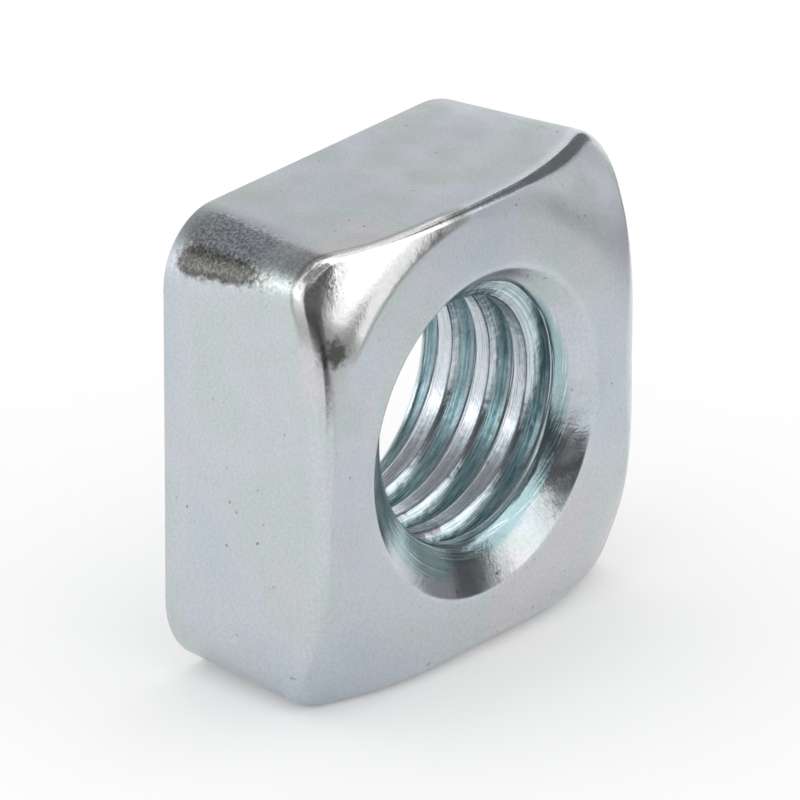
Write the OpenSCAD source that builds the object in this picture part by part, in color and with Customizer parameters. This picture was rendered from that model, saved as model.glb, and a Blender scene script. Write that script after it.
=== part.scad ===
// Square nut with a crowned face, countersunk at both ends of a right-hand thread.
// It stands on one of its flats: the bore runs along Y, with the crowned face towards -Y.

/* [Body] */
// Width across the flats
flats_w = 10; // [9:0.1:13]
// Height along the bore, from the bearing face to the crowned face
nut_h = 4.3; // [3.5:0.1:8]
// Radius of the four corner edges
corner_r = 1.2; // [0.4:0.1:2]

/* [Crowned face] */
// Distance from the flats out to where the corner chamfer would start without its blend
chamfer_out = 0.1; // [-0.6:0.05:0.3]
// Slope of the corner chamfer, from the face
chamfer_deg = 26; // [15:1:35]
// Radius that blends the flat face into the chamfer
blend_r = 3.2; // [0.5:0.1:4]

/* [Edges] */
// Radius of the creases where the chamfer meets the flats
crease_r = 0.4; // [0.2:0.05:0.6]
// Radius of the edges round the bearing face
back_edge_r = 0.15; // [0.06:0.01:0.3]
// Radius of the lip round the countersink in the crowned face
lip_r = 0.3; // [0.1:0.05:0.5]

/* [Thread] */
// Nominal diameter, across the bottoms of the grooves
thread_d = 6; // [5:0.1:6.5]
// Distance from one turn to the next
pitch = 1; // [0.8:0.05:1.25]
// Angle round the bore at which the groove comes out at the bearing face
start_deg = 167; // [0:1:359]
// How far the countersink in the crowned face reaches past the thread
front_sink_over = 0.5; // [0.1:0.05:0.6]
// How far the countersink in the bearing face reaches past the thread
back_sink_over = 0.05; // [0.02:0.01:0.4]
// Included angle of the countersink in the crowned face
front_sink_deg = 132; // [90:1:140]
// Included angle of the countersink in the bearing face
back_sink_deg = 100; // [90:1:120]

/* [Hidden] */
$fn = 96;
zinc = [0.75, 0.77, 0.80];

// Thread form: groove depth and root width follow the pitch, and the flanks lean at half of 60 degrees
depth_per_pitch = 0.44;
root_per_pitch = 1/8;
flank_deg = 30;
groove_depth = depth_per_pitch*pitch;
root_r = thread_d/2;
crest_r = root_r - groove_depth;

// The groove cutter starts inside the bore and runs on past both faces
cutter_inset = 0.12;
cutter_r = crest_r - cutter_inset;
steps_per_turn = 48;
first_step = -steps_per_turn;
last_step = ceil((nut_h/pitch + 1)*steps_per_turn);

// Corner centres
half_w = flats_w/2;
corner_c = half_w - corner_r;

// Start of the chamfer without its blend, and both ends of the blend
chamfer_r = half_w + chamfer_out;
blend_start = chamfer_r - blend_r*tan(chamfer_deg/2);
blend_end = blend_start + blend_r*sin(chamfer_deg);

// How far the crowned face falls away at a radius
function crown_drop(r) =
    r < blend_start ? 0 :
    r > blend_end ? (r - chamfer_r)*tan(chamfer_deg) :
    blend_r - sqrt(blend_r*blend_r - (r - blend_start)*(r - blend_start));

// Outer end of the turned form, just clear of the corner edges
corner_clear = 0.03;
blank_r = corner_c*sqrt(2) + corner_r + corner_clear;
blank_z = nut_h - crown_drop(blank_r);

// Length from a rounded crease's sharp corner to its ends, and steps in each rounding
crease_reach = crease_r*tan(45 - chamfer_deg/2);
arc_steps = 5;

// On a flat the crease follows an arc, through its top and the start of the corner edges
crease_top = nut_h - crown_drop(half_w);
crease_sag = crown_drop(norm([half_w, corner_c])) - crown_drop(half_w);
rim_r = (corner_c*corner_c + crease_sag*crease_sag)/(2*crease_sag);
rim_w = 1.5*flats_w;

// How far the rounding forms stand off the faces that they run into
stand_off = 0.01;

// How far cuts run on past a face, and the small lip at the bearing face
past = 1;
back_lip_r = 0.02;

// Square bar with round corner edges
module square_bar() {
    linear_extrude(nut_h) {
        square([flats_w, 2*corner_c], center = true);
        square([2*corner_c, flats_w], center = true);
        for (x = [-1, 1], y = [-1, 1])
            translate([x*corner_c, y*corner_c])
                circle(corner_r);
    }
}

// Points on an arc about a centre, by slope from straight up, clockwise
function arc(centre, r, from, to) =
    [for (i = [0:arc_steps])
        let (slope = from + (to - from)*i/arc_steps)
        centre + r*[sin(slope), cos(slope)]];

// Turned form of the crowned face: the flat, its blend, the corner chamfer and its rounded end
module turned_blank() {
    rotate_extrude()
        polygon(concat(
            [[0, 0]],
            arc([blank_r - back_edge_r, back_edge_r], back_edge_r, 180, 90),
            arc([blank_r - crease_r, blank_z - crease_reach], crease_r, 90, chamfer_deg),
            arc([blend_start, nut_h - blend_r], blend_r, chamfer_deg, 0),
            [[0, nut_h]]
        ));
}

// Wide cone over one flat, whose rounded rim rounds the crease there
module crease_rim(turn) {
    rotate([0, 0, turn])
        translate([half_w + stand_off, 0, crease_top - rim_r])
            rotate([0, -90, 0])
                rotate_extrude()
                    polygon(concat(
                        [[0, 0]],
                        arc([rim_r - crease_reach, crease_r], crease_r, 180, 90 + chamfer_deg),
                        [[rim_r + rim_w*tan(chamfer_deg), rim_w], [0, rim_w]]
                    ));
}

// Bar that rounds two edges of the bearing face
module back_edges(turn) {
    side = half_w + stand_off;
    centre_x = side - back_edge_r;
    centre_z = back_edge_r - stand_off;
    rotate([0, 0, turn])
        rotate([90, 0, 0])
            linear_extrude(flats_w + 2*past, center = true)
                polygon(concat(
                    [[side, nut_h + past]],
                    arc([centre_x, centre_z], back_edge_r, 90, 180),
                    arc([-centre_x, centre_z], back_edge_r, 180, 270),
                    [[-side, nut_h + past]]
                ));
}

// Outer form, without the bore
module body() {
    intersection() {
        square_bar();
        turned_blank();
        crease_rim(0);
        crease_rim(90);
        crease_rim(180);
        crease_rim(270);
        back_edges(0);
        back_edges(90);
    }
}

// Countersink that opens upwards from z = 0, where it would reach past the thread by the given amount
module countersink(over, included, lip) {
    mouth_r = root_r + over;
    lean = included/2;
    depth = (mouth_r - cutter_r)/tan(lean);
    lip_x = mouth_r + lip*tan(45 - lean/2);
    rotate_extrude()
        polygon(concat(
            [[0, past], [0, -depth], [cutter_r, -depth]],
            arc([lip_x, -lip], lip, lean - 90, 0),
            [[lip_x, past]]
        ));
}

// Width of the thread groove at a radius
function groove_w(r) = root_per_pitch*pitch + 2*(root_r - r)*tan(flank_deg);

// Corner of the groove's section, turned to one step of the helix
function groove_point(step, r, side) =
    let (turn = start_deg + 360*step/steps_per_turn)
    [r*cos(turn), r*sin(turn), pitch*step/steps_per_turn + side*groove_w(r)/2];

// Helical groove of the thread, swept as one cutter
module thread_groove() {
    steps = last_step - first_step;
    section = [[cutter_r, -1], [root_r, -1], [root_r, 1], [cutter_r, 1]];
    sides = len(section);
    points = [for (step = [first_step:last_step], s = section) groove_point(step, s[0], s[1])];
    walls = [for (i = [0:steps - 1], k = [0:sides - 1])
        let (a = sides*i + k, b = sides*i + (k + 1) % sides)
        each [[a, b, a + sides], [b, b + sides, a + sides]]];
    first_cap = [for (k = [sides - 1:-1:0]) k];
    last_cap = [for (k = [0:sides - 1]) sides*steps + k];
    polyhedron(points, concat([first_cap], walls, [last_cap]), convexity = 12);
}

// Nut lying on its bearing face, crowned face up
module nut_lying() {
    difference() {
        body();
        translate([0, 0, -past])
            cylinder(r = crest_r, h = nut_h + 2*past);
        translate([0, 0, nut_h])
            countersink(front_sink_over, front_sink_deg, lip_r);
        mirror([0, 0, 1])
            countersink(back_sink_over, back_sink_deg, back_lip_r);
        thread_groove();
    }
}

module square_nut() {
    color(zinc)
        translate([0, nut_h/2, flats_w/2])
            rotate([90, 0, 0])
                nut_lying();
}

square_nut();
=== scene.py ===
import math

import bmesh
import bpy
from mathutils import Matrix, Vector


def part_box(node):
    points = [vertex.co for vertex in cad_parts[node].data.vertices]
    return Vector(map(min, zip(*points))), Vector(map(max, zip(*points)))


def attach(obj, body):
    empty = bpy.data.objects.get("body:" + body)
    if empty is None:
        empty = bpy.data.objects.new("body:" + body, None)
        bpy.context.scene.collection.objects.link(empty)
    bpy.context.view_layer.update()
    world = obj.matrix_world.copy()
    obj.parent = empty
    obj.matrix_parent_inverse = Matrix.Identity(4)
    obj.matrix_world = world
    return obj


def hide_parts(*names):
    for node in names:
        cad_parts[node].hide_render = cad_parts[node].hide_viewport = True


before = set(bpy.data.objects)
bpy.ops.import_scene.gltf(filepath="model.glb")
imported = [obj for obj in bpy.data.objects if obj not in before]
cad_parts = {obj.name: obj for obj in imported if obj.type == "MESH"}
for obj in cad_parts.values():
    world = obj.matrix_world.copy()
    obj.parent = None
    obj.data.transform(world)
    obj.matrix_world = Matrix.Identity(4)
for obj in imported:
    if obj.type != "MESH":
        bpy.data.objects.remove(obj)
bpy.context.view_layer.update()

LOW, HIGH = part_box("square_nut")

# Lengths are in millimetres, and the finished mesh is scaled to metres
MM = 0.001
FLATS_W = (HIGH.x - LOW.x) / MM
NUT_H = (HIGH.y - LOW.y) / MM
HALF_W = FLATS_W / 2
CENTRE = (LOW + HIGH) / 2

# Corner edges: radius at the crowned face and at the bearing face, by the signs of X and Z
CORNER_R = {
    (-1, 1): (0.85, 1.46),
    (1, 1): (1.05, 2.00),
    (-1, -1): (0.70, 1.70),
    (1, -1): (0.35, 0.50),
}

# Crowned face: radius where its slope would start without the blend, and the width of the blend.
# Towards the upper left corner the slope starts further out and is gentler.
CROWN_R = HALF_W + 0.13
CROWN_SLOPE = 0.62
CROWN_BLEND = 1.6
EASY_AT = math.radians(135)
EASY_R = 0.38
EASY_SLOPE = -0.12

# Radius of the crease round the crowned face, by degrees round the bore from +X
CREASE_R = (
    (0, 0.85), (45, 0.60), (75, 0.20), (122, 0.15), (138, 0.50), (155, 0.50), (185, 0.25), (225, 0.50),
    (270, 0.85), (360, 0.85),
)
CREASE_FADE = 0.15
CREASE_ROUNDS = 4
BACK_EDGE_R = 0.05
CORNER_FADE = 0.2

# Smoother facet of the crowned face, with a painted highlight: slopes between which it grows, and degrees
# where it comes and goes
FACET_SLOPES = (0.055, 0.09)
FACET_COMES = (95, 104)
FACET_GOES = (147, 139)

# Polish of the front countersink: heights, as shares of its radius, between which it grows downwards
MOUTH_POLISH = (0.6, -0.1)
BORE_POLISH = 0.7
BACK_POLISH_FADE = 0.1

# Grain, and a dark reflection painted into the colour, on the upper left corner edge: depths between
# which they grow, and degrees up from the left flat where they come and the painted dark reflection goes
GRAIN_AND_DARK_DEPTHS = (1.4, 2.4)
FRONT_GRAIN = 0.4
GRAIN_AND_DARK_COMES = (10, 22)
DARK_REFLECTION_GOES = (50, 34)

# Spot of painted dark reflection on the crowned face, by the upper left corner: X, Z and radius, and the
# depth that it stays above
DARK_REFLECTION_SPOT = (-4.55, 3.15, 0.5)
SPOT_DEPTH = 1

# Thread and countersinks
PITCH = 1.0
START_DEG = 167
ROOT_R = 3.0
GROOVE_DEPTH = 0.44 * PITCH
CREST_R = ROOT_R - GROOVE_DEPTH
ROOT_W = PITCH / 8
FLANK_SLOPE = math.tan(math.radians(30))
THREAD_EDGE_R = 0.07
FRONT_SINK_SLOPE = math.tan(math.radians(66))
STEEP_SINK_SLOPE = math.tan(math.radians(47))
STEEP_SINK_AT = math.radians(110)
BACK_SINK_SLOPE = math.tan(math.radians(50))
FRONT_MOUTH_R = ROOT_R + 0.5
BACK_MOUTH_R = ROOT_R + 0.05
LIP_R = 0.3
BACK_LIP = 0.04
SINK_SOFT = 0.05
BORE_START = 0.18
MOUTH_DEPTH = 0.5
MOUTH_DROP = 0.12
MOUTH_DROP_DEPTH = 0.35

# Share of a line that the rounding at one of its ends may take up
ROUNDING_SHARE = 0.48

# Mesh fineness
TURN_STEPS = 360
ARC_STEPS = 6
LINE_STEPS = 6
CROWN_STEPS = 20
THREAD_ARC_STEPS = 3
THREAD_LINE_STEPS = 3
WELD = 0.002

# Plating, in linear colour
PLATING_TINTS = (
    (0.538, 0.596, 0.647, 1),
    (0.584, 0.606, 0.655, 1),
    (0.548, 0.616, 0.609, 1),
    (0.614, 0.607, 0.631, 1),
)
CREST_TINT = (0.70, 0.73, 0.79, 1)
CREST_LINE_TINT = (0.42, 0.53, 0.56, 1)
FLANK_TINT = (0.74, 0.84, 0.86, 1)
FLANK_LINE_TINT = (0.36, 0.50, 0.53, 1)
# A highlight painted into the colour of the facet
FACET_HIGHLIGHT_TINT = (0.80, 0.81, 0.80, 1)
# A dark reflection painted into the colour: on the upper left corner edge, in a spot beside it and round
# the facet's rim
DARK_REFLECTION_TINT = (0.13, 0.13, 0.12, 1)
SPECK_COLOUR = (0.25, 0.26, 0.27, 1)

# Zones of the bore: radii and depths, and X plus height, between which each fades
BORE_EDGE = (ROOT_R - 0.15, ROOT_R + 0.03)
CREST_EDGE = (CREST_R + 0.05, CREST_R + 0.15)
MOUTH_FADE = (MOUTH_DEPTH - 0.1, MOUTH_DEPTH + 0.2)
LINED_MOUTH = (-4.3, -3.4)
LINED_MOUTH_W = 0.3

# Lines along the thread: how close they are, how they change round the bore, noise levels between which
# they fade, how much more of them the mouth has, and their relief
THREAD_LINES = 7.0
LINE_DRIFT = 0.8
LINE_DETAIL = 3
FLANK_LINES = (0.42, 0.62)
CREST_LINES = (0.36, 0.52)
MOUTH_LINES_MORE = 0.1
LINE_RELIEF = 0.005

# Drift of the plating's tints, and strength of the painted dark reflection round the facet's rim
TINT_SCALE = 0.3
TINT_STOPS = (0.36, 0.46, 0.55, 0.64)
FACET_RIM = 2.0

# Noise in colour and gloss: scale and detail, levels between which it fades, and the values there
GRAIN = ((14, 4), 0.3, 0.7, 0.93, 1.04)
CORNER_GRAIN = ((15, 3), 0.38, 0.62, 0.65, 1.25)
SPECK_DOTS = ((7, 1), 0.70, 0.76)
SPECK_PATCHES = ((0.7, 2), 0.42, 0.62)
SATIN = ((1.2, 4), 0.3, 0.7, 0.34, 0.44)
POLISH_DROP = 0.22
RAGGED = (9, 4)
# Ragged edge of the painted dark reflection
DARK_REFLECTION_EDGE = (0.15, 0.75)

# Relief: scale, detail and height of its noise, and the stretch of the streaks
WAVES = (0.45, 1, 0.022)
DENTS = (2.5, 2, 0.004)
FINE_GRAIN = (16, 3, 0.0014)
STREAKS = (3, 2, 0.0012, (4, 4, 0.4))
PITS = (12, 4, 0.007)
HOLLOWS = (2.4, 2, 0.024)

# Values that the vertices carry to the material
# The last value carries a dark reflection painted into the colour
CARRIED = ("corner", "polish", "facet", "painted_dark_reflection")

# Studio cards: name, first and last azimuth, first and last elevation, distance and brightness
CARDS = (
    ("front_softbox", 10, 45, -3, 10, 92, 1.5),
    ("front_high_softbox", 3, 45, 12, 70, 92, 1.5),
    ("front_low_dark", -35, 21, -11, -0.5, 26, 0.08),
    ("front_right_dark", 36, 52, -11, 4, 26, 0.1),
    ("right_low_dark", 52, 105, -11, -2, 26, 0.32),
    ("camera_dark", -80, 4, -6, 40, 40, 0.12),
    ("right_dark", 46, 112, 4, 48, 94, 0.2),
    ("ceiling_softbox", -10, 150, 71, 89, 96, 1.6),
    ("back_dark", 125, 228, 33, 66, 98, 0.3),
    ("left_high_dark", -125, 1, 42, 76, 98, 0.3),
    ("left_softbox", -139, -100, 9, 26, 96, 2.0),
)
CARD_STEPS = 16
FLOOR_COLOUR = (0.9, 0.9, 0.9, 1)
FLOOR_LIFT = 0.16
FLOOR_SIZE = 1200
WORLD_FILL = 0.95

# Camera
CAMERA_AZ = -49.583
CAMERA_EL = 23.759
CAMERA_ROLL = -0.152
CAMERA_DISTANCE = 538.46
CAMERA_PAN = -0.111
CAMERA_RISE = 0.028
CAMERA_LENS = 1197.6
CAMERA_SENSOR = 36


def rounded_path(corners, radii, arc_steps, line_steps):
    """Points along a path of corners, each inner corner rounded by its radius."""
    corners = [Vector(c) for c in corners]
    starts, ends, arcs = [], [], []
    for before, corner, after, radius in zip(corners, corners[1:], corners[2:], radii):
        come = (corner - before).normalized()
        go = (after - corner).normalized()
        half_turn = come.angle(go) / 2
        room = ROUNDING_SHARE * min((corner - before).length, (after - corner).length)
        reach = min(radius * math.tan(half_turn), room)
        start = corner - come * reach
        end = corner + go * reach
        bow = (go - come).normalized()
        middle = corner + bow * (reach / math.sin(half_turn))
        size = (start - middle).length
        arc = []
        for i in range(arc_steps + 1):
            lean = half_turn * (2 * i / arc_steps - 1)
            along = (come + go).normalized()
            arc.append(middle + (along * math.sin(lean) - bow * math.cos(lean)) * size)
        starts.append(start)
        ends.append(end)
        arcs.append(arc)
    points = []
    for here, there, arc in zip([corners[0]] + ends, starts + [corners[-1]], arcs + [[]]):
        points += [here.lerp(there, i / line_steps) for i in range(line_steps)]
        points += arc[:-1]
    return points + [corners[-1]]


def side_radius(angle, depth):
    """Distance from the bore's axis to the flats and corner edges."""
    x, z = math.cos(angle), math.sin(angle)
    front, back = CORNER_R[(1 if x >= 0 else -1, 1 if z >= 0 else -1)]
    corner = front + (back - front) * depth / NUT_H
    x, z = abs(x), abs(z)
    flat = HALF_W / max(x, z)
    inner = HALF_W - corner
    if flat * min(x, z) <= inner:
        return flat
    along = inner * (x + z)
    return along + math.sqrt(along ** 2 - 2 * inner ** 2 + corner ** 2)


def ease(angle):
    """1 towards the upper left corner, and 0 in the half away from it."""
    return max(math.cos(angle - EASY_AT), 0) ** 2


def crown_start(angle):
    """Radius at which the crowned face starts to fall away."""
    return CROWN_R + EASY_R * ease(angle) - CROWN_BLEND / 2


def crown(angle, radius):
    """Depth and slope of the crowned face."""
    over = max(radius - crown_start(angle), 0)
    slope = CROWN_SLOPE + EASY_SLOPE * ease(angle)
    if over < CROWN_BLEND:
        return slope * over * over / (2 * CROWN_BLEND), slope * over / CROWN_BLEND
    return slope * (over - CROWN_BLEND / 2), slope


def ramp(value, low, high):
    """0 at the low value, 1 at the high one and straight between."""
    return min(max((value - low) / (high - low), 0), 1)


def crease_radius(angle):
    """Radius of the crease between the crowned face and the sides."""
    degrees = math.degrees(angle) % 360
    for (low, one), (high, other) in zip(CREASE_R, CREASE_R[1:]):
        if degrees <= high:
            return one + (other - one) * ramp(degrees, low, high)


def facet(angle, slope):
    """How much the crowned face is a smoother facet with a painted highlight: only towards the upper left
    corner.
    """
    degrees = math.degrees(angle)
    return ramp(degrees, *FACET_COMES) * ramp(degrees, *FACET_GOES) * ramp(slope, *FACET_SLOPES)


def on_upper_left_edge(co):
    """Whether a point is on the corner edge at the upper left, or on the flats beside it."""
    return co.x < 0 < co.z and co.y < NUT_H - BACK_EDGE_R


def edge_turn(co):
    """Degrees round the upper left corner edge, up from the left flat."""
    front, back = CORNER_R[(-1, 1)]
    inner = HALF_W - front - (back - front) * co.y / NUT_H
    return math.degrees(math.atan2(co.z - inner, -co.x - inner))


def rough_corner(co):
    """How grainy the upper left corner edge is: most of all towards the bearing face."""
    if not on_upper_left_edge(co):
        return 0
    deep = FRONT_GRAIN + (1 - FRONT_GRAIN) * ramp(co.y, *GRAIN_AND_DARK_DEPTHS)
    return corner_weight(co) * ramp(edge_turn(co), *GRAIN_AND_DARK_COMES) * deep


def painted_dark_reflection(co):
    """How much dark reflection is painted into the plating at a point."""
    most = 0
    if on_upper_left_edge(co):
        turn = edge_turn(co)
        most = corner_weight(co) * ramp(turn, *GRAIN_AND_DARK_COMES) * ramp(turn, *DARK_REFLECTION_GOES)
        most *= ramp(co.y, *GRAIN_AND_DARK_DEPTHS)
    x, z, radius = DARK_REFLECTION_SPOT
    if co.y < SPOT_DEPTH:
        most = max(most, 1 - math.hypot(co.x - x, co.z - z) / radius)
    return most


def sink_slope(angle):
    """Slope of the front countersink: steep at the upper left, and open at the lower right."""
    steep = (1 + math.cos(angle - STEEP_SINK_AT)) / 2
    return FRONT_SINK_SLOPE + (STEEP_SINK_SLOPE - FRONT_SINK_SLOPE) * steep


def mouth_polish(angle):
    """How bright the front countersink is: only in its lower part."""
    return ramp(math.sin(angle), *MOUTH_POLISH)


def shell_section(angle):
    """Section of the outside, from one countersink to the other: radius, depth, polish and facet."""
    start = crown_start(angle)
    mouth = rounded_path(
        [(FRONT_MOUTH_R - BORE_START * sink_slope(angle), BORE_START), (FRONT_MOUTH_R, 0), (start, 0)],
        [LIP_R], ARC_STEPS, LINE_STEPS,
    )
    fall = [1] * LINE_STEPS + [1 - i / ARC_STEPS for i in range(ARC_STEPS)] + [0] * (LINE_STEPS + 1)
    low = mouth_polish(angle)
    points = [(r, d, polish * low, 0) for (r, d), polish in zip(mouth, fall)]

    # The corner edges change with depth, so the crease is found in a few rounds
    edge = side_radius(angle, 0)
    for _ in range(CREASE_ROUNDS):
        edge = side_radius(angle, crown(angle, edge)[0])
    depth, slope = crown(angle, edge)
    reach = crease_radius(angle) * math.tan((math.pi / 2 - math.atan(slope)) / 2)
    inner = edge - reach
    for i in range(1, CROWN_STEPS + 1):
        radius = start + (inner - start) * i / CROWN_STEPS
        fallen, lean = crown(angle, radius)
        points.append((radius, fallen, 0, facet(angle, lean)))
    bright = points[-1][3]
    come = Vector((inner, crown(angle, inner)[0]))
    corner = Vector((edge, depth))
    go = Vector((side_radius(angle, depth + reach), depth + reach))
    for i in range(1, ARC_STEPS + 1):
        t = i / ARC_STEPS
        at = come.lerp(corner, t).lerp(corner.lerp(go, t), t)
        points.append((at.x, at.y, 1, bright))

    back = Vector((side_radius(angle, NUT_H), NUT_H))
    faded = go.lerp(back, CREASE_FADE / (NUT_H - go.y))
    rest = rounded_path(
        [faded, back, (BACK_MOUTH_R + BACK_LIP, NUT_H)], [BACK_EDGE_R], ARC_STEPS, LINE_STEPS,
    )
    rest.append((BACK_MOUTH_R, NUT_H))
    return points + [(r, d, 0, 0) for r, d in rest]


def at_angle(angle, radius, depth):
    return Vector((radius * math.cos(angle), depth, radius * math.sin(angle)))


def wire(bm, points):
    """Joins points into a row of edges and returns them with their vertices."""
    verts = [bm.verts.new(p) for p in points]
    return verts + [bm.edges.new(pair) for pair in zip(verts, verts[1:])]


def turn_index(co):
    """The step of a full turn that a vertex belongs to."""
    return round(math.atan2(co.z, co.x) / math.tau * TURN_STEPS) % TURN_STEPS


def corner_weight(co):
    """1 on the corner edges and 0 on the flats."""
    front, back = CORNER_R[(1 if co.x >= 0 else -1, 1 if co.z >= 0 else -1)]
    corner = front + (back - front) * co.y / NUT_H
    over = min(abs(co.x), abs(co.z)) - (HALF_W - corner)
    return ramp(over, 0, CORNER_FADE * corner)


def add_shell(bm):
    """Flats, crowned face and bearing face: one section spun round the bore and fitted to the square."""
    for name in CARRIED:
        bm.verts.layers.float.new(name)
    place = bm.verts.layers.int.new("place")
    corner, polish, bright, painted_dark = (bm.verts.layers.float[name] for name in CARRIED)
    geom = wire(bm, [at_angle(0, *point[:2]) for point in shell_section(0)])
    for i, vert in enumerate(v for v in geom if isinstance(v, bmesh.types.BMVert)):
        vert[place] = i
    bmesh.ops.spin(
        bm, geom=geom, cent=(0, 0, 0), axis=(0, -1, 0), dvec=(0, 0, 0),
        angle=math.tau, steps=TURN_STEPS, use_merge=True, use_duplicate=False,
    )
    sections = [shell_section(math.tau * i / TURN_STEPS) for i in range(TURN_STEPS)]
    for vert in bm.verts:
        step = turn_index(vert.co)
        radius, depth, vert[polish], vert[bright] = sections[step][vert[place]]
        vert.co = at_angle(math.tau * step / TURN_STEPS, radius, depth)
        vert[corner] = rough_corner(vert.co)
        # Dark reflection painted into the plating's colour
        vert[painted_dark] = painted_dark_reflection(vert.co)
    bm.verts.layers.int.remove(place)


def thread_section():
    """One pitch of the thread about a groove, as radius and offset along the bore."""
    root = ROOT_W / 2
    crest = root + GROOVE_DEPTH * FLANK_SLOPE
    corners = [
        (CREST_R, -PITCH / 2),
        (CREST_R, -crest),
        (ROOT_R, -root),
        (ROOT_R, root),
        (CREST_R, crest),
        (CREST_R, PITCH / 2),
    ]
    return rounded_path(corners, [THREAD_EDGE_R] * 4, THREAD_ARC_STEPS, THREAD_LINE_STEPS)


def soft_max(a, b, soft):
    """The larger of two values, blended where they are closer than soft."""
    near = max(soft - abs(a - b), 0) / soft
    return max(a, b) + near * near * soft / 4


def bore_polish(angle, depth):
    """How bright the bore's wall is: as the countersink near the front, and not at the bearing face."""
    if depth < MOUTH_DEPTH:
        return mouth_polish(angle)
    return BORE_POLISH * ramp(depth, NUT_H, NUT_H - BACK_POLISH_FADE)


def add_bore(bm):
    """The thread as a helical ribbon, opened out by the countersinks and ended at both mouths."""
    first = NUT_H + PITCH * START_DEG / 360
    while first < NUT_H + PITCH / 2:
        first += PITCH
    turns = math.ceil((first - BORE_START) / PITCH + 0.5)
    old = set(bm.verts)
    bmesh.ops.spin(
        bm, geom=wire(bm, [at_angle(0, r, first + d) for r, d in thread_section()]),
        cent=(0, 0, 0), axis=(0, -1, 0), dvec=(0, -PITCH / TURN_STEPS, 0),
        angle=math.tau, steps=TURN_STEPS, use_merge=False, use_duplicate=False,
    )
    ribbon = [v for v in bm.verts if v not in old]
    ribbon += {f for v in ribbon for f in v.link_faces}
    for turn in range(1, turns):
        made = bmesh.ops.duplicate(bm, geom=ribbon)["geom"]
        copies = [v for v in made if isinstance(v, bmesh.types.BMVert)]
        bmesh.ops.translate(bm, vec=(0, -PITCH * turn, 0), verts=copies)
    for vert in bm.verts:
        if vert in old:
            continue
        angle = math.tau * turn_index(vert.co) / TURN_STEPS
        radius = math.hypot(vert.co.x, vert.co.z)
        depth = min(max(vert.co.y, BORE_START), NUT_H)
        radius = soft_max(radius, FRONT_MOUTH_R - depth * sink_slope(angle), SINK_SOFT)
        radius = soft_max(radius, BACK_MOUTH_R - (NUT_H - depth) * BACK_SINK_SLOPE, SINK_SOFT)
        vert.co = at_angle(angle, radius, depth)
        vert[bm.verts.layers.float["polish"]] = bore_polish(angle, depth)


def drop_mouth(bm):
    """Sets the front countersink a little below the middle, fading out round it and down the bore."""
    for vert in bm.verts:
        radius = math.hypot(vert.co.x, vert.co.z)
        out = ramp(radius, crown_start(EASY_AT), FRONT_MOUTH_R)
        vert.co.z -= MOUTH_DROP * out * max(1 - vert.co.y / MOUTH_DROP_DEPTH, 0)


def make_nut(material):
    bm = bmesh.new()
    add_shell(bm)
    add_bore(bm)
    bmesh.ops.remove_doubles(bm, verts=bm.verts, dist=WELD)
    bmesh.ops.dissolve_degenerate(bm, edges=bm.edges, dist=WELD / 10)
    drop_mouth(bm)
    bmesh.ops.recalc_face_normals(bm, faces=bm.faces)
    bmesh.ops.scale(bm, vec=(MM, MM, MM), verts=bm.verts)
    bmesh.ops.translate(bm, vec=(CENTRE.x, LOW.y, CENTRE.z), verts=bm.verts)
    for face in bm.faces:
        face.smooth = True
    mesh = bpy.data.meshes.new("nut_body")
    bm.to_mesh(mesh)
    bm.free()
    nut = bpy.data.objects.new("nut_body", mesh)
    bpy.context.collection.objects.link(nut)
    nut.data.materials.append(material)
    return nut


def feed(tree, socket, value):
    """Gives a socket a value, or links another node's output to it."""
    if isinstance(value, bpy.types.NodeSocket):
        tree.links.new(value, socket)
    else:
        socket.default_value = value


def add_node(tree, kind, settings=None, **inputs):
    """Adds a shader node. Inputs are named by socket and given as a value or as another node's output."""
    made = tree.nodes.new(kind)
    for name, value in (settings or {}).items():
        setattr(made, name, value)
    for name, value in inputs.items():
        feed(tree, made.inputs[name.replace("_", " ")], value)
    return made


def calc(tree, operation, *values):
    """A sum of node outputs and numbers, as one more output."""
    made = add_node(tree, "ShaderNodeMath", {"operation": operation})
    for socket, value in zip(made.inputs, values):
        feed(tree, socket, value)
    return made.outputs[0]


def product(tree, first, *others):
    """Node outputs and numbers, multiplied."""
    for other in others:
        first = calc(tree, "MULTIPLY", first, other)
    return first


def total(tree, first, *others):
    """Node outputs and numbers, added up."""
    for other in others:
        first = calc(tree, "ADD", first, other)
    return first


def lacking(tree, value):
    """What a value lacks to 1."""
    return calc(tree, "SUBTRACT", 1.0, value)


def fade(tree, value, low, high, to_low=0.0, to_high=1.0):
    """A smooth step between two values."""
    return add_node(
        tree, "ShaderNodeMapRange", {"interpolation_type": "SMOOTHSTEP"},
        Value=value, From_Min=low, From_Max=high, To_Min=to_low, To_Max=to_high,
    ).outputs["Result"]


def speckle(tree, where, scale, detail=2.0, stretch=(1, 1, 1)):
    """Noise over the millimetre coordinates, from 0 to 1."""
    at = add_node(tree, "ShaderNodeVectorMath", {"operation": "MULTIPLY"})
    feed(tree, at.inputs[0], where)
    feed(tree, at.inputs[1], stretch)
    return add_node(
        tree, "ShaderNodeTexNoise", Vector=at.outputs[0], Scale=scale, Detail=detail,
    ).outputs["Fac"]


def texture(tree, where, noise, *levels):
    """Noise of a scale and detail, faded between two levels."""
    return fade(tree, speckle(tree, where, *noise), *levels)


def bumps(tree, where, scale, detail, height, stretch=(1, 1, 1)):
    """Relief from noise, of a height in millimetres."""
    return product(tree, speckle(tree, where, scale, detail, stretch), height)


def attribute(tree, name):
    """A value that the nut's vertices carry."""
    return add_node(tree, "ShaderNodeAttribute", {"attribute_name": name}).outputs["Fac"]


def grey(tree, level):
    return add_node(tree, "ShaderNodeCombineColor", Red=level, Green=level, Blue=level).outputs[0]


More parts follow.
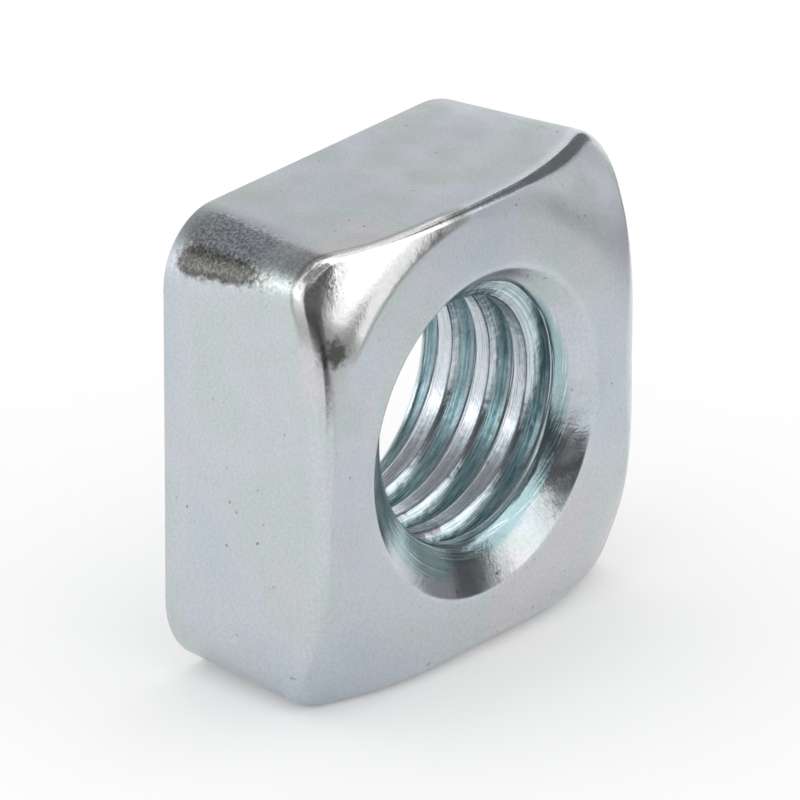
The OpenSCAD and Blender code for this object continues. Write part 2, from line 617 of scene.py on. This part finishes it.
def blend_colour(tree, factor, one, other, mode="MIX"):
    """One colour mixed with another, or multiplied by it."""
    made = add_node(tree, "ShaderNodeMix", {"data_type": "RGBA", "blend_type": mode})
    for index, value in ((0, factor), (6, one), (7, other)):
        feed(tree, made.inputs[index], value)
    return made.outputs[2]


def bore_zones(tree, where):
    """Where the bore, its front mouth and the thread's crests are, and the lines along the thread."""
    axes = add_node(tree, "ShaderNodeSeparateXYZ", Vector=where).outputs
    height = calc(tree, "SUBTRACT", axes["Z"], CENTRE.z / MM)
    square = total(tree, product(tree, axes["X"], axes["X"]), product(tree, height, height))
    radius = calc(tree, "SQRT", square)
    depth = calc(tree, "SUBTRACT", axes["Y"], LOW.y / MM)
    mouth = fade(tree, depth, *MOUTH_FADE, 1, 0)
    lower_left = fade(tree, total(tree, axes["X"], height), *LINED_MOUTH, LINED_MOUTH_W, 0)
    inwards = calc(tree, "SUBTRACT", radius, product(tree, lower_left, mouth))
    bore = fade(tree, inwards, *BORE_EDGE, 1, 0)
    crest = product(tree, fade(tree, radius, *CREST_EDGE, 1, 0), lacking(tree, mouth))

    turn = calc(tree, "ARCTAN2", height, axes["X"])
    along = total(tree, product(tree, axes["Y"], math.tau / PITCH), turn)
    lines_at = add_node(
        tree, "ShaderNodeCombineXYZ",
        X=product(tree, calc(tree, "COSINE", along), THREAD_LINES),
        Y=product(tree, calc(tree, "SINE", along), THREAD_LINES),
        Z=product(tree, total(tree, axes["X"], axes["Z"]), LINE_DRIFT),
    ).outputs[0]
    return bore, mouth, crest, speckle(tree, lines_at, 1, LINE_DETAIL)


def thread_tint(tree, lines, crest, mouth):
    """Colour of the bore: smooth pale crests between lined flanks."""
    flank_lines = calc(tree, "SUBTRACT", lines, product(tree, mouth, MOUTH_LINES_MORE))
    flank = blend_colour(tree, fade(tree, flank_lines, *FLANK_LINES), FLANK_LINE_TINT, FLANK_TINT)
    top = blend_colour(tree, fade(tree, lines, *CREST_LINES), CREST_LINE_TINT, CREST_TINT)
    return blend_colour(tree, crest, flank, top)


def plating_tint(tree, where, bright):
    """Colour of the outside: drifting tints, a painted highlight on the facet and a painted dark
    reflection round the facet's rim.
    """
    tint = add_node(tree, "ShaderNodeValToRGB", Fac=speckle(tree, where, TINT_SCALE))
    stops = tint.color_ramp.elements
    for stop, place, stop_tint in zip(stops, TINT_STOPS[::3], PLATING_TINTS[::3]):
        stop.position = place
        stop.color = stop_tint
    for place, stop_tint in zip(TINT_STOPS[1:3], PLATING_TINTS[1:3]):
        stops.new(place).color = stop_tint
    # Highlight painted on the facet, and a dark reflection painted round its rim
    colour = blend_colour(tree, bright, tint.outputs["Color"], FACET_HIGHLIGHT_TINT)
    rim = product(tree, bright, lacking(tree, bright), FACET_RIM)
    return blend_colour(tree, rim, colour, DARK_REFLECTION_TINT)


def weathered(tree, where, colour, corner):
    """A colour with the grain and specks of the plating."""
    coarse = grey(tree, texture(tree, where, *CORNER_GRAIN))
    colour = blend_colour(tree, corner, colour, blend_colour(tree, 1.0, colour, coarse, "MULTIPLY"))
    colour = blend_colour(tree, 1.0, colour, grey(tree, texture(tree, where, *GRAIN)), "MULTIPLY")
    specks = product(tree, texture(tree, where, *SPECK_DOTS), texture(tree, where, *SPECK_PATCHES))
    return blend_colour(tree, specks, colour, SPECK_COLOUR)


def plating_relief(tree, where, corner, bore, mouth, lines):
    """Height of the surface: waves, dents and grain, a pitted corner edge, and the marks of tapping."""
    return total(
        tree,
        bumps(tree, where, *WAVES),
        bumps(tree, where, *DENTS),
        bumps(tree, where, *FINE_GRAIN),
        bumps(tree, where, *STREAKS),
        product(tree, bumps(tree, where, *PITS), corner),
        product(tree, lines, bore, LINE_RELIEF),
        product(tree, bumps(tree, where, *HOLLOWS), bore, lacking(tree, mouth)),
    )


def zinc_material():
    mat = bpy.data.materials.new("zinc_plating")
    mat.use_nodes = True
    tree = mat.node_tree
    shader = tree.nodes["Principled BSDF"]
    shader.inputs["Metallic"].default_value = 1

    coords = add_node(tree, "ShaderNodeTexCoord").outputs["Object"]
    where = add_node(
        tree, "ShaderNodeVectorMath", {"operation": "SCALE"}, Vector=coords, Scale=1 / MM,
    ).outputs[0]
    bore, mouth, crest, lines = bore_zones(tree, where)
    corner, polish, bright, painted_dark = (attribute(tree, name) for name in CARRIED)
    ragged = calc(tree, "SUBTRACT", speckle(tree, where, *RAGGED), 0.5)
    # Ragged dark reflection painted into the colour
    painted_dark = fade(tree, total(tree, painted_dark, ragged), *DARK_REFLECTION_EDGE)

    colour = plating_tint(tree, where, bright)
    colour = blend_colour(tree, bore, colour, thread_tint(tree, lines, crest, mouth))
    # Dark reflection painted over the colour, on the upper left corner edge and beside it
    colour = blend_colour(tree, painted_dark, colour, DARK_REFLECTION_TINT)
    tree.links.new(weathered(tree, where, colour, corner), shader.inputs["Base Color"])

    smooth = calc(tree, "MAXIMUM", calc(tree, "MAXIMUM", corner, polish), bright)
    satin = texture(tree, where, *SATIN)
    satin = calc(tree, "SUBTRACT", satin, product(tree, smooth, POLISH_DROP))
    tree.links.new(satin, shader.inputs["Roughness"])

    relief = plating_relief(tree, where, corner, bore, mouth, lines)
    bump = add_node(tree, "ShaderNodeBump", Strength=1.0, Distance=MM, Height=relief)
    tree.links.new(bump.outputs["Normal"], shader.inputs["Normal"])
    return mat


def stage_object(name, bm, material):
    """Turns a mesh in millimetres into an object that isn't part of the nut."""
    bmesh.ops.scale(bm, vec=(MM, MM, MM), verts=bm.verts)
    mesh = bpy.data.meshes.new(name)
    bm.to_mesh(mesh)
    bm.free()
    mesh.materials.append(material)
    made = bpy.data.objects.new(name, mesh)
    bpy.context.collection.objects.link(made)
    return made


def towards(az, el):
    """Direction from the nut, with azimuth 0 along -Y and 90 along +X."""
    az, el = math.radians(az), math.radians(el)
    return Vector((math.sin(az) * math.cos(el), -math.cos(az) * math.cos(el), math.sin(el)))


def make_cards():
    """Curved cards round the nut: they show in its reflections and nowhere else."""
    for name, az_from, az_to, el_from, el_to, distance, level in CARDS:
        mat = bpy.data.materials.new(name)
        mat.use_nodes = True
        tree = mat.node_tree
        tree.nodes.remove(tree.nodes["Principled BSDF"])
        glow = add_node(tree, "ShaderNodeEmission", Strength=level)
        tree.links.new(glow.outputs[0], tree.nodes["Material Output"].inputs["Surface"])
        bm = bmesh.new()
        bmesh.ops.create_grid(bm, x_segments=CARD_STEPS, y_segments=CARD_STEPS, size=0.5)
        for vert in bm.verts:
            az = az_from + (az_to - az_from) * (vert.co.x + 0.5)
            el = el_from + (el_to - el_from) * (vert.co.y + 0.5)
            vert.co = CENTRE / MM + towards(az, el) * distance
        card = stage_object(name, bm, mat)
        card.visible_camera = False
        card.visible_diffuse = False
        card.visible_transmission = False
        card.visible_volume_scatter = False
        card.visible_shadow = False


def seen_directly(tree):
    """1 for rays from the camera and for mirror-like or clear ones, and 0 for the rest."""
    path = add_node(tree, "ShaderNodeLightPath").outputs
    seen = calc(tree, "ADD", path["Is Camera Ray"], path["Is Glossy Ray"])
    return calc(tree, "MINIMUM", calc(tree, "ADD", seen, path["Is Transmission Ray"]), 1)


def make_floor():
    mat = bpy.data.materials.new("floor")
    mat.use_nodes = True
    tree = mat.node_tree
    shader = tree.nodes["Principled BSDF"]
    shader.inputs["Base Color"].default_value = FLOOR_COLOUR
    shader.inputs["Roughness"].default_value = 1
    shader.inputs["Specular IOR Level"].default_value = 0
    shader.inputs["Emission Color"].default_value = (1, 1, 1, 1)
    lift = calc(tree, "MULTIPLY", seen_directly(tree), FLOOR_LIFT)
    tree.links.new(lift, shader.inputs["Emission Strength"])
    bm = bmesh.new()
    bmesh.ops.create_grid(bm, x_segments=1, y_segments=1, size=FLOOR_SIZE / 2)
    stage_object("floor", bm, mat)


def make_world():
    world = bpy.data.worlds.new("studio")
    bpy.context.scene.world = world
    world.use_nodes = True
    tree = world.node_tree
    sky = tree.nodes["Background"]
    sky.inputs["Color"].default_value = (1, 1, 1, 1)
    strength = add_node(
        tree, "ShaderNodeMapRange", Value=seen_directly(tree), To_Min=WORLD_FILL, To_Max=1.0,
    )
    tree.links.new(strength.outputs["Result"], sky.inputs["Strength"])


def make_camera():
    az, roll = math.radians(CAMERA_AZ), math.radians(CAMERA_ROLL)
    back = towards(CAMERA_AZ, CAMERA_EL)
    level = Vector((math.cos(az), math.sin(az), 0))
    rise = back.cross(level)
    right = level * math.cos(roll) + rise * math.sin(roll)
    up = rise * math.cos(roll) - level * math.sin(roll)
    camera = bpy.data.cameras.new("camera")
    camera.lens = CAMERA_LENS
    camera.sensor_width = CAMERA_SENSOR
    holder = bpy.data.objects.new("camera", camera)
    bpy.context.collection.objects.link(holder)
    place = CENTRE + (back * CAMERA_DISTANCE + right * CAMERA_PAN + up * CAMERA_RISE) * MM
    holder.matrix_world = Matrix.Translation(place) @ Matrix((right, up, back)).transposed().to_4x4()
    bpy.context.scene.camera = holder


nut_body = make_nut(zinc_material())
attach(nut_body, "root")
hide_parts("square_nut")
make_floor()
make_cards()
make_world()
make_camera()
bpy.context.scene.view_settings.view_transform = "Standard"
